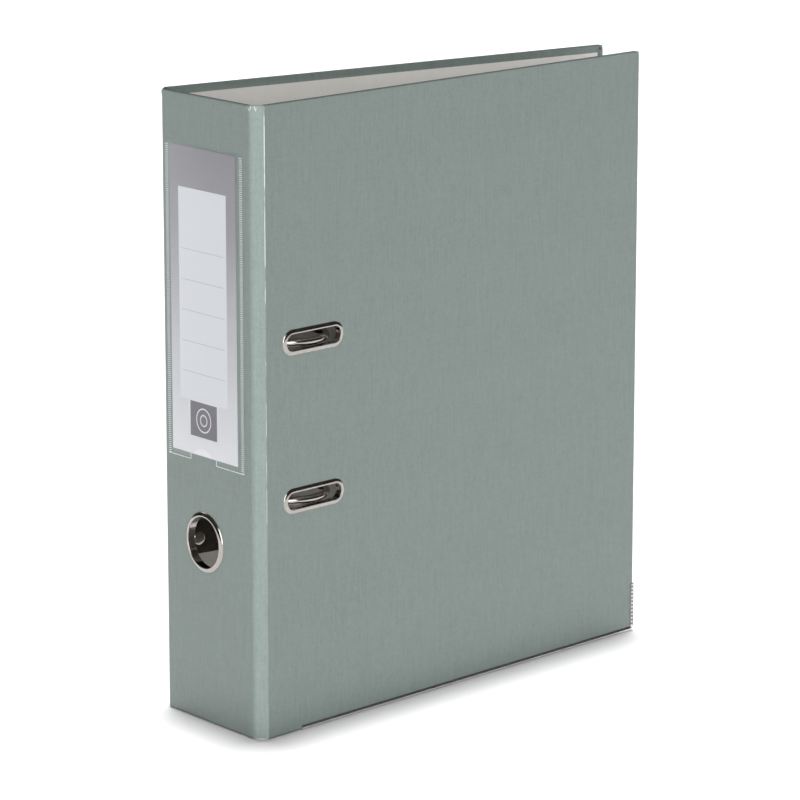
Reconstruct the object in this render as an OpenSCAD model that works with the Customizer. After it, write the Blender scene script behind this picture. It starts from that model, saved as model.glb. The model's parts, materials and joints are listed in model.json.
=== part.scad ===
// Lever arch file, standing closed. +X runs along the back cover from the spine to the fore edge,
// +Y points out of the back cover and +Z is up. The origin is the bottom centre of the whole file.

/* [Covers and spine] */
// Height of the file
file_h = 318; // [300:1:325]
// Width of each cover, from its crease to its fore edge
cover_w = 277.1; // [265:0.1:290]
// Flat width of the spine between its two creases
spine_w = 71.3; // [70:0.1:76]
// How far a hinge strip runs inwards from the spine's face
strip_in = 5.9; // [5:0.1:7]
// How far a hinge strip runs sideways past the spine
strip_out = 5.56; // [5:0.01:6]
// Thickness of a finished cover
cover_t = 2.5; // [2.5:0.1:3]
// Thickness of the covering film and of the lining paper
skin_t = 0.3; // [0.2:0.05:0.4]
// Width of the covering's turn-in that the lining leaves showing
turn_in = 4; // [3:0.5:8]
// Lean of the spine away from square to the back cover, in degrees
lean = 2.65; // [2:0.05:3]
// Angle between the two closed covers, in degrees
converge = 10.12; // [9.5:0.01:10.5]

/* [Metal edge rails] */
// Sheet thickness of a rail
rail_t = 0.4; // [0.3:0.05:0.5]
// Height of a rail's lips on the cover's faces
rail_lip = 2.4; // [2:0.1:3]
// Distance from the crease to the start of a rail
rail_start = 23; // [20:1:40]
// How far a rail turns up the fore edge
rail_up = 26.5; // [15:0.5:40]

/* [Ring slots] */
// Distance from the crease to the middle of a slot
slot_x = 32.5; // [32:0.1:33]
// Height of the point midway between the two slots
slot_mid_z = 159; // [158.5:0.1:159.5]
// Length of a slot's opening
slot_l = 37.5; // [36.5:0.1:39]
// Height of a slot's opening
slot_h = 8.3; // [8.2:0.1:9]
// Width of a slot eyelet's rim
slot_rim = 2; // [1.5:0.1:2.5]
// How far a rim stands proud of the cover
rim_proud = 0.6; // [0.4:0.1:0.7]
// Wall thickness of an eyelet's tube
eyelet_wall = 0.4; // [0.3:0.05:0.5]

/* [Finger ring and label] */
// Distance of the finger ring from the spine's front crease
ring_y = 38.8; // [30:0.1:40]
// Height of the finger ring's centre
ring_z = 93.3; // [60:0.1:100]
// Radius of the finger ring's opening
ring_r = 13; // [11:0.1:13.5]
// Outer radius of the finger ring
ring_rim_r = 15.3; // [15:0.1:16]
// Near edge of the label pocket, from the front crease
pocket_y0 = 4.4; // [3:0.1:6]
// Far edge of the label pocket
pocket_y1 = 68.8; // [66:0.1:69]
// Bottom of the label pocket
pocket_z0 = 134; // [125:1:140]
// Top of the label pocket
pocket_z1 = 293; // [293:1:300]
// Width of a weld band at the side of the pocket
weld_w = 3; // [2:0.1:4]
// Width of the label card
card_w = 54.6; // [40:0.1:55]
// Height of the label card
card_h = 154.5; // [100:0.5:154.5]

/* [Ring mechanism] */
// Height of the mechanism's middle
mech_z = 157.2; // [157:0.1:157.4]
// Distance between the two rings
ring_pitch = 80; // [80:1:80]
// Radius of the steel wire
wire_r = 2; // [1.8:0.05:2]
// Position of the arch shaft along the cover
shaft_x = 15.5; // [15.4:0.1:15.6]
// Height of the arch shaft above the lining
shaft_h = 5; // [4.9:0.05:5.1]
// Position of the posts along the cover
post_x = 57.5; // [57:0.1:58]
// Height of the posts above the lining
post_h = 50.2; // [48:0.1:50.2]
// Length of the crank in the arch shaft
crank_l = 12; // [11.9:0.05:12]
// Position of the lever pivot along the cover
pivot_x = 27.5; // [27.4:0.1:27.6]
// Height of the lever pivot above the lining
pivot_h = 20.1; // [20:0.05:20.2]
// Distance from the lever pivot to the roller
roller_arm = 7; // [6.9:0.05:7]
// Radius of the roller
roller_r = 5.5; // [5.3:0.05:5.5]
// Length of the lever's handle
handle_l = 34; // [30:0.5:36]
// Length of the base plate
plate_l = 160; // [140:1:170]

/* [Hidden] */
$fn = 64;

film_green = [0.55, 0.6, 0.57];
strip_green = [0.65, 0.7, 0.67];
lining_grey = [0.76, 0.74, 0.71];
board_grey = [0.5, 0.48, 0.45];
nickel = [0.8, 0.79, 0.78];
dark_nylon = [0.15, 0.15, 0.16];

eps = 0.05;                 // clearance between pieces that are pushed together
base_z = rail_t;            // the covers stand on the rails' webs
board_gap = 0.8;            // how far a board stops short of its crease
ring_half = ring_pitch / 2;
slot_rise = ring_half;

back_outer_y = strip_in * sin(lean) + (spine_w + strip_out) * cos(lean);
back_inner_y = back_outer_y - cover_t;
back_crease_x = strip_in * cos(lean) - (spine_w + strip_out) * sin(lean);
front_crease_y = strip_in * sin(lean) - strip_out * cos(lean);
centre_x = (back_crease_x + cover_w + rail_t - spine_w * sin(lean)) / 2;
centre_y = (back_outer_y + front_crease_y) / 2;

// ---- places ----

// x in from the spine's face, y from its front crease to its back crease
module spine_frame() {
    translate([-centre_x, -centre_y, 0]) rotate([0, 0, lean]) children();
}

// x along the front cover from its crease, y in through the cover
module front_frame() {
    spine_frame() translate([strip_in, -strip_out, 0]) rotate([0, 0, converge - lean]) children();
}

// x along the back cover from its crease, y in through the cover
module back_frame() {
    translate([back_crease_x - centre_x, back_outer_y - centre_y, 0]) mirror([0, 1, 0]) children();
}

// x along the cover from the spine, y up from the mechanism's middle, z away from the back lining
module mech_frame() {
    translate([-centre_x, back_inner_y - centre_y, mech_z]) rotate([90, 0, 0]) children();
}

// ---- shapes ----

module slab(x0, x1, y0, y1, z0, z1) {
    translate([x0, y0, z0]) cube([x1 - x0, y1 - y0, z1 - z0]);
}

// A slot with round ends through a cover, from depth y0 to depth y1
module slot(l, h, y0, y1) {
    straight = l - h;
    translate([0, y0, 0]) rotate([-90, 0, 0]) {
        translate([-straight / 2, -h / 2, 0]) cube([straight, h, y1 - y0]);
        for (side = [-1, 1])
            translate([side * straight / 2, 0, 0]) cylinder(h = y1 - y0, d = h);
    }
}

module at_slot(side) {
    translate([slot_x, 0, slot_mid_z + side * slot_rise]) children();
}

module slot_cuts() {
    clear = 2 * (eyelet_wall + eps);
    for (side = [-1, 1])
        at_slot(side) slot(slot_l + clear, slot_h + clear, -1, cover_t + 1);
}

// An upright plate in the mechanism, from y0 to y1, drawn in x and height
module upright(y0, y1) {
    translate([0, y1, 0]) rotate([90, 0, 0]) linear_extrude(y1 - y0) children();
}

// A straight bar of the given width between two points of a drawing
module link(p, q, w) {
    d = q - p;
    translate(p) rotate(atan2(d[1], d[0])) translate([0, -w / 2]) square([norm(d), w]);
}

// A rod along the mechanism's y between y0 and y1
module cross_rod(x, h, r, y0, y1) {
    translate([x, y0, h]) rotate([-90, 0, 0]) cylinder(h = y1 - y0, r = r);
}

// A domed head of radius r and height t on the plane z = 0
module domed_head(r, t) {
    ball_r = (r * r + t * t) / (2 * t);
    intersection() {
        translate([0, 0, t - ball_r]) sphere(ball_r);
        cylinder(h = t + 1, r = r);
    }
}

// ---- covers ----

module cover_board() {
    slab(board_gap, cover_w - skin_t, skin_t, cover_t - skin_t, base_z + skin_t, file_h - skin_t);
}

// The covering wraps the board's outside, top, bottom and fore edge, and turns in
module cover_covering() {
    difference() {
        slab(0, cover_w, 0, cover_t, base_z, file_h);
        slab(-1, cover_w - skin_t, skin_t, cover_t - skin_t, base_z + skin_t, file_h - skin_t);
        slab(-1, cover_w - turn_in, skin_t, cover_t + 1, base_z + turn_in, file_h - turn_in);
    }
}

module cover_lining() {
    slab(0, cover_w - turn_in, cover_t - skin_t, cover_t, base_z + turn_in, file_h - turn_in);
}

// A folded channel along the bottom edge that turns up the fore edge
module cover_edge_rail() {
    difference() {
        union() {
            slab(rail_start, cover_w + rail_t, -rail_t, cover_t + rail_t, 0, rail_lip);
            slab(cover_w - rail_lip, cover_w + rail_t, -rail_t, cover_t + rail_t, 0, rail_up);
        }
        slab(rail_start - 1, cover_w, 0, cover_t, rail_t, rail_up + 1);
    }
}

// A flat strip from the spine's crease at y = 0 to a cover's crease, in the spine's own frame.
// It turns about both creases, so it stays clear of its neighbours' ends by a hair.
module hinge_strip(turn) {
    along = [cos(turn), sin(turn)];
    inward = strip_t * [-sin(turn), cos(turn)];
    cover_crease = [strip_in, -strip_out];
    linear_extrude(file_h - base_z) polygon([
        [0, -eps], cover_crease - eps * along,
        cover_crease - eps * along + inward, [strip_t, -eps]
    ]);
}

module front_board() {
    color(board_grey) front_frame() difference() { cover_board(); slot_cuts(); }
}

module front_covering() {
    color(film_green) front_frame() difference() { cover_covering(); slot_cuts(); }
}

module front_lining() {
    color(lining_grey) front_frame() difference() { cover_lining(); slot_cuts(); }
}

module front_hinge_strip() {
    color(strip_green) spine_frame() translate([0, 0, base_z]) hinge_strip(converge - lean);
}

module front_edge_rail() {
    color(nickel) front_frame() cover_edge_rail();
}

// A rim outside and a tube through the cover
module slot_eyelet(side) {
    tube = 2 * eyelet_wall;
    color(nickel) front_frame() at_slot(side) difference() {
        union() {
            slot(slot_l + 2 * slot_rim, slot_h + 2 * slot_rim, -rim_proud, 0);
            slot(slot_l + tube, slot_h + tube, -rim_proud, cover_t + rim_proud);
        }
        slot(slot_l, slot_h, -1, cover_t + 1);
    }
}

module slot_washer(side) {
    hole = 2 * (eyelet_wall + eps);
    color(nickel) front_frame() at_slot(side) difference() {
        slot(slot_l + 2 * slot_rim, slot_h + 2 * slot_rim, cover_t, cover_t + rim_proud);
        slot(slot_l + hole, slot_h + hole, cover_t - 1, cover_t + 1);
    }
}

module upper_slot_eyelet() { slot_eyelet(1); }
module lower_slot_eyelet() { slot_eyelet(-1); }
module upper_slot_washer() { slot_washer(1); }
module lower_slot_washer() { slot_washer(-1); }

module back_board() {
    color(board_grey) back_frame() difference() { cover_board(); rivet_cuts(); }
}

module back_covering() {
    color(film_green) back_frame() difference() { cover_covering(); rivet_cuts(); }
}

module back_lining() {
    color(lining_grey) back_frame() difference() { cover_lining(); rivet_cuts(); }
}

module back_hinge_strip() {
    color(strip_green) spine_frame()
        translate([0, spine_w, base_z]) mirror([0, 1, 0]) hinge_strip(lean);
}

module back_edge_rail() {
    color(nickel) back_frame() cover_edge_rail();
}

// ---- spine ----

module ring_cut() {
    translate([-1, ring_y, ring_z]) rotate([0, 90, 0])
        cylinder(h = cover_t + 2, r = ring_r + eyelet_wall + eps);
}

module spine_board() {
    color(board_grey) spine_frame() difference() {
        slab(skin_t, cover_t - skin_t, board_gap, spine_w - board_gap,
             base_z + skin_t, file_h - skin_t);
        ring_cut();
    }
}

module spine_covering() {
    color(film_green) spine_frame() difference() {
        slab(0, cover_t, 0, spine_w, base_z, file_h);
        slab(skin_t, cover_t - skin_t, -1, spine_w + 1, base_z + skin_t, file_h - skin_t);
        slab(skin_t, cover_t + 1, -1, spine_w + 1, base_z + turn_in, file_h - turn_in);
        ring_cut();
    }
}

module spine_lining() {
    color(lining_grey) spine_frame() difference() {
        slab(cover_t - skin_t, cover_t, 0, spine_w, base_z + turn_in, file_h - turn_in);
        ring_cut();
    }
}

// Profile of the finger ring: r from the ring's axis, height into the spine
ring_arc_steps = 12;
function ring_rim_arc() = [
    for (i = [0 : ring_arc_steps])
        let (mid = (ring_r + ring_rim_r) / 2, half = (ring_rim_r - ring_r) / 2,
             a = 180 * i / ring_arc_steps)
            [mid + half * cos(a), -2 * rim_proud * sin(a)]
];

module finger_ring_eyelet() {
    color(nickel) spine_frame() translate([0, ring_y, ring_z]) rotate([0, 90, 0])
        rotate_extrude() polygon(concat(ring_rim_arc(), [
            [ring_r, cover_t + rim_proud], [ring_r + eyelet_wall, cover_t + rim_proud],
            [ring_r + eyelet_wall, 0]
        ]));
}

module finger_ring_washer() {
    color(nickel) spine_frame() translate([cover_t, ring_y, ring_z]) rotate([0, 90, 0])
        rotate_extrude() translate([ring_r + eyelet_wall + eps, 0])
            square([ring_rim_r - ring_r - eyelet_wall, rim_proud]);
}

pocket_film = 0.2;           // thickness of the clear film
pocket_room = 0.5;           // room behind the film for the card
card_t = 0.3;
notch_r = 12;                // thumb notch in the pocket's lower edge
notch_drop = 5;              // its centre lies this far below the edge

// Clear film welded to the spine along both sides and the bottom, open at the top
module label_pocket() {
    depth = pocket_room + pocket_film;
    color([0.85, 0.88, 0.88, 0.35]) spine_frame() difference() {
        slab(-depth, 0, pocket_y0, pocket_y1, pocket_z0, pocket_z1);
        slab(-pocket_room, 1, pocket_y0 + weld_w, pocket_y1 - weld_w,
             pocket_z0 + weld_w, pocket_z1 + 1);
        translate([-depth - 1, ring_y, pocket_z0 - notch_drop]) rotate([0, 90, 0])
            cylinder(h = depth + 2, r = notch_r);
    }
}

card_y0 = 10;
card_z0 = pocket_z0 + weld_w + 0.5;

module label_card() {
    color("white") spine_frame()
        translate([-(pocket_room + card_t) / 2, card_y0, card_z0]) cube([card_t, card_w, card_h]);
}

// ---- mechanism ----

plate_t = 1.2;
plate_x0 = 11;
plate_x1 = 64;
plate_corner = 5;
rivet_xs = [17.5, 57.5];
rivet_y = 72;
shank_r = 2;
bead_r = 2.2;
bead_x = 37;
bead_y0 = 22;
bead_y1 = 72;

module rivet_cuts() {
    for (x = rivet_xs, side = [-1, 1])
        translate([x - back_crease_x, -1, mech_z + side * rivet_y]) rotate([-90, 0, 0])
            cylinder(h = cover_t + 2, r = shank_r + eps);
}

module plate_outline() {
    translate([plate_x0 + plate_corner, -plate_l / 2])
        square([plate_x1 - plate_x0 - 2 * plate_corner, plate_l]);
    translate([plate_x0, -plate_l / 2 + plate_corner])
        square([plate_x1 - plate_x0, plate_l - 2 * plate_corner]);
    for (x = [plate_x0 + plate_corner, plate_x1 - plate_corner], side = [-1, 1])
        translate([x, side * (plate_l / 2 - plate_corner)]) circle(plate_corner);
}

module bead(side) {
    translate([bead_x, side * (bead_y0 + bead_y1) / 2, 0]) rotate([90, 0, 0])
        cylinder(h = bead_y1 - bead_y0, r = bead_r, center = true);
    for (y = [bead_y0, bead_y1])
        translate([bead_x, side * y, 0]) sphere(bead_r);
}

bearing_y = 33;              // inner face of a shaft bearing ear
ear_t = 1.5;
ear_r = 4;
running = 0.07;              // radial clearance of a shaft or pin that turns
lug_y = 11.1;                // inner face of a lever lug
lug_t = 1.2;
lug_r = 4.2;
pin_r = 1.5;

module bearing_ear(y0) {
    upright(y0, y0 + ear_t) difference() {
        union() {
            translate([shaft_x - ear_r, 0]) square([2 * ear_r, shaft_h]);
            translate([shaft_x, shaft_h]) circle(ear_r);
        }
        translate([shaft_x, shaft_h]) circle(wire_r + running);
    }
}

module lever_lug(y0) {
    upright(y0, y0 + lug_t) difference() {
        union() {
            link([pivot_x, 0], [pivot_x, pivot_h], 2 * lug_r);
            translate([pivot_x, pivot_h]) circle(lug_r);
        }
        translate([pivot_x, pivot_h]) circle(pin_r + eps);
    }
}

module mechanism_base() {
    color(nickel) mech_frame() difference() {
        union() {
            linear_extrude(plate_t) plate_outline();
            for (side = [-1, 1]) bead(side);
            bearing_ear(bearing_y);
            bearing_ear(-bearing_y - ear_t);
            lever_lug(lug_y);
            lever_lug(-lug_y - lug_t);
        }
        translate([plate_x0, -plate_l / 2, -2 * bead_r])
            cube([plate_x1 - plate_x0, plate_l, 2 * bead_r]);
        for (x = rivet_xs, side = [-1, 1])
            translate([x, side * rivet_y, -1]) cylinder(h = plate_t + 2, r = shank_r + eps);
    }
}

// Each rivet has a domed head behind the back cover and a flatter one on the plate
module mechanism_rivets() {
    color(nickel) mech_frame()
        for (x = rivet_xs, side = [-1, 1])
            translate([x, side * rivet_y, 0]) {
                translate([0, 0, -cover_t]) cylinder(h = cover_t + plate_t, r = shank_r);
                translate([0, 0, plate_t]) domed_head(3.5, 0.9);
                translate([0, 0, -cover_t]) mirror([0, 0, 1]) domed_head(4.5, 1);
            }
}

collar_r = 3.5;
collar_h = 1.2;

module post(side) {
    color(nickel) mech_frame() translate([post_x, side * ring_half, plate_t]) {
        cylinder(h = post_h - plate_t, r = wire_r);
        cylinder(h = collar_h, r = collar_r);
    }
}

module upper_post() { post(1); }
module lower_post() { post(-1); }

pin_head_r = 2.6;
pin_head_t = 0.8;

module lever_pivot_pin() {
    outer = lug_y + lug_t;
    color(nickel) mech_frame() {
        cross_rod(pivot_x, pivot_h, pin_r, -outer, outer);
        cross_rod(pivot_x, pivot_h, pin_head_r, -outer - pin_head_t, -outer);
        cross_rod(pivot_x, pivot_h, pin_head_r, outer, outer + pin_head_t);
    }
}

spring_half = 4.5;
spring_t = 0.5;
spring_tip = [shaft_x + crank_l, 3.5];
spring_bend = [40, plate_t + spring_t / 2];
spring_end = [52, plate_t + spring_t / 2];
spring_rivet_x = 47;

// The leaf spring presses up under the crank from its riveted end
module leaf_spring() {
    color(nickel) mech_frame() difference() {
        upright(-spring_half, spring_half) {
            link(spring_tip, spring_bend, spring_t);
            link(spring_bend, spring_end, spring_t);
            translate(spring_bend) circle(d = spring_t);
        }
        translate([spring_rivet_x, 0, 0]) cylinder(h = 4, r = shank_r + eps);
    }
}

module spring_rivet() {
    color(nickel) mech_frame() translate([spring_rivet_x, 0, plate_t]) {
        cylinder(h = spring_t, r = shank_r);
        translate([0, 0, spring_t]) domed_head(3, 0.8);
    }
}

// ---- arches ----

crank_half = 7;              // the crank's arms stand this far from the middle
bend_r = 3;                  // bend radius of the wire's middle line
crank_lift = 5;              // angle of the closed crank above the plate, in degrees
arch_r = (post_x - shaft_x) / 2;
arch_gap = 0.2;              // gap between an arch's tip and its post
arch_top = post_h + arch_gap;
crank_x = shaft_x + crank_l * cos(crank_lift);
crank_h = shaft_h + crank_l * sin(crank_lift);

// A quarter bend of the wire from the origin, heading along +X and turning to +Y
module elbow() {
    translate([0, bend_r, 0]) rotate([0, 0, -90])
        rotate_extrude(angle = 90) translate([bend_r, 0]) circle(wire_r);
}

module wire_y(y0, y1) {
    translate([0, y0, 0]) rotate([-90, 0, 0]) cylinder(h = y1 - y0, r = wire_r);
}

// From the shaft's end the wire turns up and over to its post
module arch_bow() {
    leg_h = arch_top - shaft_h - bend_r;
    translate([shaft_x, 0, shaft_h]) {
        wire_y(crank_half + bend_r, ring_half - bend_r);
        translate([0, ring_half - bend_r, 0]) rotate([90, 0, 90]) elbow();
        translate([0, ring_half, bend_r]) cylinder(h = leg_h, r = wire_r);
    }
    translate([shaft_x + arch_r, ring_half, arch_top]) rotate([90, 0, 0])
        rotate_extrude(angle = 180) translate([arch_r, 0]) circle(wire_r);
}

// Half of the crank: the wire leaves the shaft, runs out and turns across to the middle
module crank_side() {
    translate([shaft_x, 0, shaft_h]) rotate([0, -crank_lift, 0]) {
        translate([bend_r, crank_half, 0]) mirror([1, 0, 0]) elbow();
        translate([bend_r, crank_half, 0]) rotate([0, 90, 0])
            cylinder(h = crank_l - 2 * bend_r, r = wire_r);
        translate([crank_l, crank_half - bend_r, 0]) rotate([0, 0, 90]) elbow();
    }
}

// One bent wire: two bows, a shaft between them and a crank in the shaft's middle
module arches() {
    color(nickel) mech_frame() {
        for (side = [0, 1])
            mirror([0, side, 0]) {
                arch_bow();
                crank_side();
            }
        translate([crank_x, 0, crank_h]) wire_y(bend_r - crank_half, crank_half - bend_r);
    }
}

// ---- lever ----

handle_turn = 125;           // direction of the closed handle, up from +X
roller_turn = -110;          // direction from the pivot to the roller
cheek_y = 9.6;               // inner face of a cheek
cheek_t = 1.2;
cheek_w = 8;
roll_r = 3;
web_start = 8;
pivot = [pivot_x, pivot_h];
roller_at = pivot + roller_arm * [cos(roller_turn), sin(roller_turn)];
handle_dir = [cos(handle_turn), sin(handle_turn)];
handle_side = [-sin(handle_turn), cos(handle_turn)];
handle_end = pivot + handle_l * handle_dir;
web_shift = (cheek_w - cheek_t) / 2 * handle_side;

module cheek(y0) {
    upright(y0, y0 + cheek_t) difference() {
        union() {
            translate(pivot) circle(d = cheek_w);
            link(pivot, handle_end, cheek_w);
            link(pivot, roller_at, 2 * roll_r);
            translate(roller_at) circle(roll_r);
        }
        translate(pivot) circle(pin_r + running);
        translate(roller_at) circle(pin_r + eps);
    }
}

// A folded steel channel with a rolled finger grip at its end
module lever() {
    wide = cheek_y + cheek_t;
    color(nickel) mech_frame() {
        cheek(cheek_y);
        cheek(-cheek_y - cheek_t);
        upright(-wide, wide)
            link(pivot + web_start * handle_dir + web_shift, handle_end + web_shift, cheek_t);
        cross_rod(handle_end[0], handle_end[1], cheek_w / 2, -wide, wide);
    }
}

module roller_pin() {
    wide = cheek_y + cheek_t;
    color(nickel) mech_frame() cross_rod(roller_at[0], roller_at[1], pin_r, -wide, wide);
}

roller_half = 4.6;

module roller() {
    color(dark_nylon) mech_frame() difference() {
        cross_rod(roller_at[0], roller_at[1], roller_r, -roller_half, roller_half);
        cross_rod(roller_at[0], roller_at[1], pin_r + running, -roller_half - 1, roller_half + 1);
    }
}

// ---- compressor ----

bar_h = 4;                   // height of the bar's underside when it is down
bar_t = 2.4;
bar_w = 11;
bar_half = 52;
post_clear = 0.3;
latch_t = 1;
latch_w = 8;
latch_l = 22;
latch_travel = 3;

module long_plate(half_l, w, t) {
    translate([-w / 2, -half_l + w / 2, 0]) cube([w, 2 * half_l - w, t]);
    for (side = [-1, 1])
        translate([0, side * (half_l - w / 2), 0]) cylinder(h = t, d = w);
}

// A sliding bar that holds the sheets down, guided by the two posts
module compressor_bar() {
    color(nickel) mech_frame() translate([post_x, 0, bar_h]) difference() {
        long_plate(bar_half, bar_w, bar_t);
        for (side = [-1, 1])
            translate([0, side * ring_half, -1]) cylinder(h = bar_t + 2, r = wire_r + post_clear);
    }
}

// A small plate on the bar, slotted round the upper post, with a thumb tab
module compressor_latch() {
    color(dark_nylon) mech_frame() translate([post_x, ring_half, bar_h + bar_t + eps])
        difference() {
            union() {
                long_plate(latch_l / 2, latch_w, latch_t);
                translate([-latch_w / 2, -latch_l / 2 + latch_w / 2, 0])
                    cube([latch_w, 1.5, 4]);
            }
            for (y = [0, -latch_travel])
                translate([0, y, -1]) cylinder(h = latch_t + 2, r = wire_r + post_clear);
            translate([-wire_r - post_clear, -latch_travel, -1])
                cube([2 * (wire_r + post_clear), latch_travel, latch_t + 2]);
        }
}

front_board();
front_covering();
front_lining();
front_hinge_strip();
front_edge_rail();
upper_slot_eyelet();
lower_slot_eyelet();
upper_slot_washer();
lower_slot_washer();
spine_board();
spine_covering();
spine_lining();
label_pocket();
label_card();
finger_ring_eyelet();
finger_ring_washer();
back_board();
back_covering();
back_lining();
back_hinge_strip();
back_edge_rail();
mechanism_base();
mechanism_rivets();
upper_post();
lower_post();
lever_pivot_pin();
leaf_spring();
spring_rivet();
arches();
lever();
roller_pin();
roller();
compressor_bar();
compressor_latch();
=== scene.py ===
import json
from math import cos, pi, radians, sin, tan

import bmesh
import bpy
from mathutils import Matrix, Vector


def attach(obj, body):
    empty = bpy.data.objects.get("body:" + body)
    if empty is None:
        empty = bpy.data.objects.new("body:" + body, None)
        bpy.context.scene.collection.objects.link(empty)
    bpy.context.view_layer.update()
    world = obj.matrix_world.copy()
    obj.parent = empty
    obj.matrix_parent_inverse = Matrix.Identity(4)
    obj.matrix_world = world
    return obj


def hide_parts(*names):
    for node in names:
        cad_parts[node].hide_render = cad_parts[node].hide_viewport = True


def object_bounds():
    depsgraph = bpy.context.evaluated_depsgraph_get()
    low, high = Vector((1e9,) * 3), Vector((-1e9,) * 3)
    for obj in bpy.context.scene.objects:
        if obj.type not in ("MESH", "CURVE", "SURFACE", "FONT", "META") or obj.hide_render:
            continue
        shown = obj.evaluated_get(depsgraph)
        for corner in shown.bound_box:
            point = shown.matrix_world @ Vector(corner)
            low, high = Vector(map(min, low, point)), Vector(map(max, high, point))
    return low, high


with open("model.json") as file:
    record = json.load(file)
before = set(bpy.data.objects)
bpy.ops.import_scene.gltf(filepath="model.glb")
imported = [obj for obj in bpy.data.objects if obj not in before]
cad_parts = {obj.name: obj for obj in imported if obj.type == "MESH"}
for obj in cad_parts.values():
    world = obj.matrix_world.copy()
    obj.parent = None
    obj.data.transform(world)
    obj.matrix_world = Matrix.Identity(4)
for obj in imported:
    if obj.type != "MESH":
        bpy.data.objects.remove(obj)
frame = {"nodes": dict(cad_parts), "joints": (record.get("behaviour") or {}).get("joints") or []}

cad_low, cad_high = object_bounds()

# ---- Film covering of the two covers and the spine ----
# Grey-green polypropylene film with a fine upright linen grain, glued round each board and turned
# in over its edges. At every crease the film rounds off half of the fold and its hinge strip the rest.

crease = {joint["name"]: Vector(joint["pos_m"]) for joint in frame["joints"] if "pos_m" in joint}
front_spine_crease = crease["front_strip_fold"]
front_cover_crease = crease["front_cover_fold"]
back_spine_crease = crease["spine_fold"]
back_cover_crease = crease["back_strip_fold"]

closing_angle = radians(10.12)
cover_width = 277.1
cover_thickness = 2.5
cover_foot = 0.4
cover_top = 318
film_thickness = 0.3
turn_in_width = 4
fore_corner_radius = 2.6
film_edge_radius = 0.75

spine_fold = radians(46.7)
front_cover_fold = radians(50.77)
back_cover_fold = radians(45.95)
spine_fold_radius = 3.0
cover_fold_radius = 0.7


def upright_place(start, towards, inward):
    """Place for a sheet drawn in mm: X from a crease along the sheet, Y in through it, Z up."""
    along = Vector((towards.x - start.x, towards.y - start.y, 0)).normalized()
    deep = Vector((-along.y, along.x, 0)) * inward
    place = Matrix((along, deep, (0, 0, 1))).transposed().to_4x4()
    place.translation = (start.x, start.y, 0)
    return place @ Matrix.Scale(0.001, 4)


front_way = Vector((cos(closing_angle), sin(closing_angle), 0))
front_place = upright_place(front_cover_crease, front_cover_crease + front_way, 1)
back_place = upright_place(back_cover_crease, back_cover_crease + Vector((1, 0, 0)), -1)
spine_place = upright_place(front_spine_crease, back_spine_crease, -1)
spine_width = 1000 * (back_spine_crease - front_spine_crease).length


def half_fold(radius, turn, steps=5):
    """Outline of the outer half of a rounded fold, from its middle to where the sheet is straight."""
    half = turn / 2
    reach = radius * tan(half)
    angles = [half * k / steps for k in range(steps, -1, -1)]
    return [(reach - radius * sin(a), radius - radius * cos(a)) for a in angles]


def thicken(bm, vec):
    """Gives a flat sheet a body that reaches this far."""
    grown = bmesh.ops.extrude_face_region(bm, geom=bm.faces[:])["geom"]
    moved = [v for v in grown if isinstance(v, bmesh.types.BMVert)]
    bmesh.ops.translate(bm, verts=moved, vec=vec)


def upright_slab(outline, foot, top):
    """A closed upright slab with this outline in plan."""
    bm = bmesh.new()
    bm.faces.new([bm.verts.new((x, y, foot)) for x, y in outline])
    thicken(bm, (0, 0, top - foot))
    bmesh.ops.recalc_face_normals(bm, faces=bm.faces[:])
    return bm


def bevel_edges(bm, edges, width, segments):
    """Rounds these edges."""
    bmesh.ops.bevel(
        bm, geom=edges, offset=width, offset_type="OFFSET", segments=segments,
        profile=0.5, affect="EDGES", clamp_overlap=True, material=-1,
    )


def round_fore_corners(bm, radius):
    """Rounds the upper and lower corner at the far end of a sheet."""
    far = max(v.co.x for v in bm.verts)
    corners = [
        e for e in bm.edges
        if all(abs(v.co.x - far) < 1e-4 for v in e.verts)
        and abs(e.verts[0].co.z - e.verts[1].co.z) < 1e-4
    ]
    bevel_edges(bm, corners, radius, 8)


def round_outer_edges(bm, radius, open_ends):
    """Rounds the film where it wraps an edge. Ends that meet a fold stay as they are."""
    rims = []
    for edge in bm.edges:
        sides = [f for f in edge.link_faces if abs(f.normal.y) < 0.7]
        if len(edge.link_faces) != 2 or len(sides) != 1:
            continue
        if any(sides[0].normal.x * end > 0.5 for end in open_ends):
            continue
        rims.append(edge)
    bevel_edges(bm, rims, radius, 4)


def flat_faces(bm, level):
    """The faces that lie at this depth."""
    return [f for f in bm.faces if all(abs(v.co.y - level) < 1e-4 for v in f.verts)]


def cut_faces(bm, faces, axis, value):
    """Cuts these faces along the plane where X or Z has this value."""
    edges = {e for f in faces for e in f.edges}
    verts = {v for f in faces for v in f.verts}
    bmesh.ops.bisect_plane(
        bm, geom=[*faces, *edges, *verts], dist=1e-5,
        plane_co=[value if axis == name else 0 for name in "XYZ"],
        plane_no=[1 if axis == name else 0 for name in "XYZ"],
    )


def cut_sheet(bm, level, cuts):
    """Cuts the flat faces at this depth, at each cut's axis and value."""
    for axis, value in cuts:
        cut_faces(bm, flat_faces(bm, level), axis, value)


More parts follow.
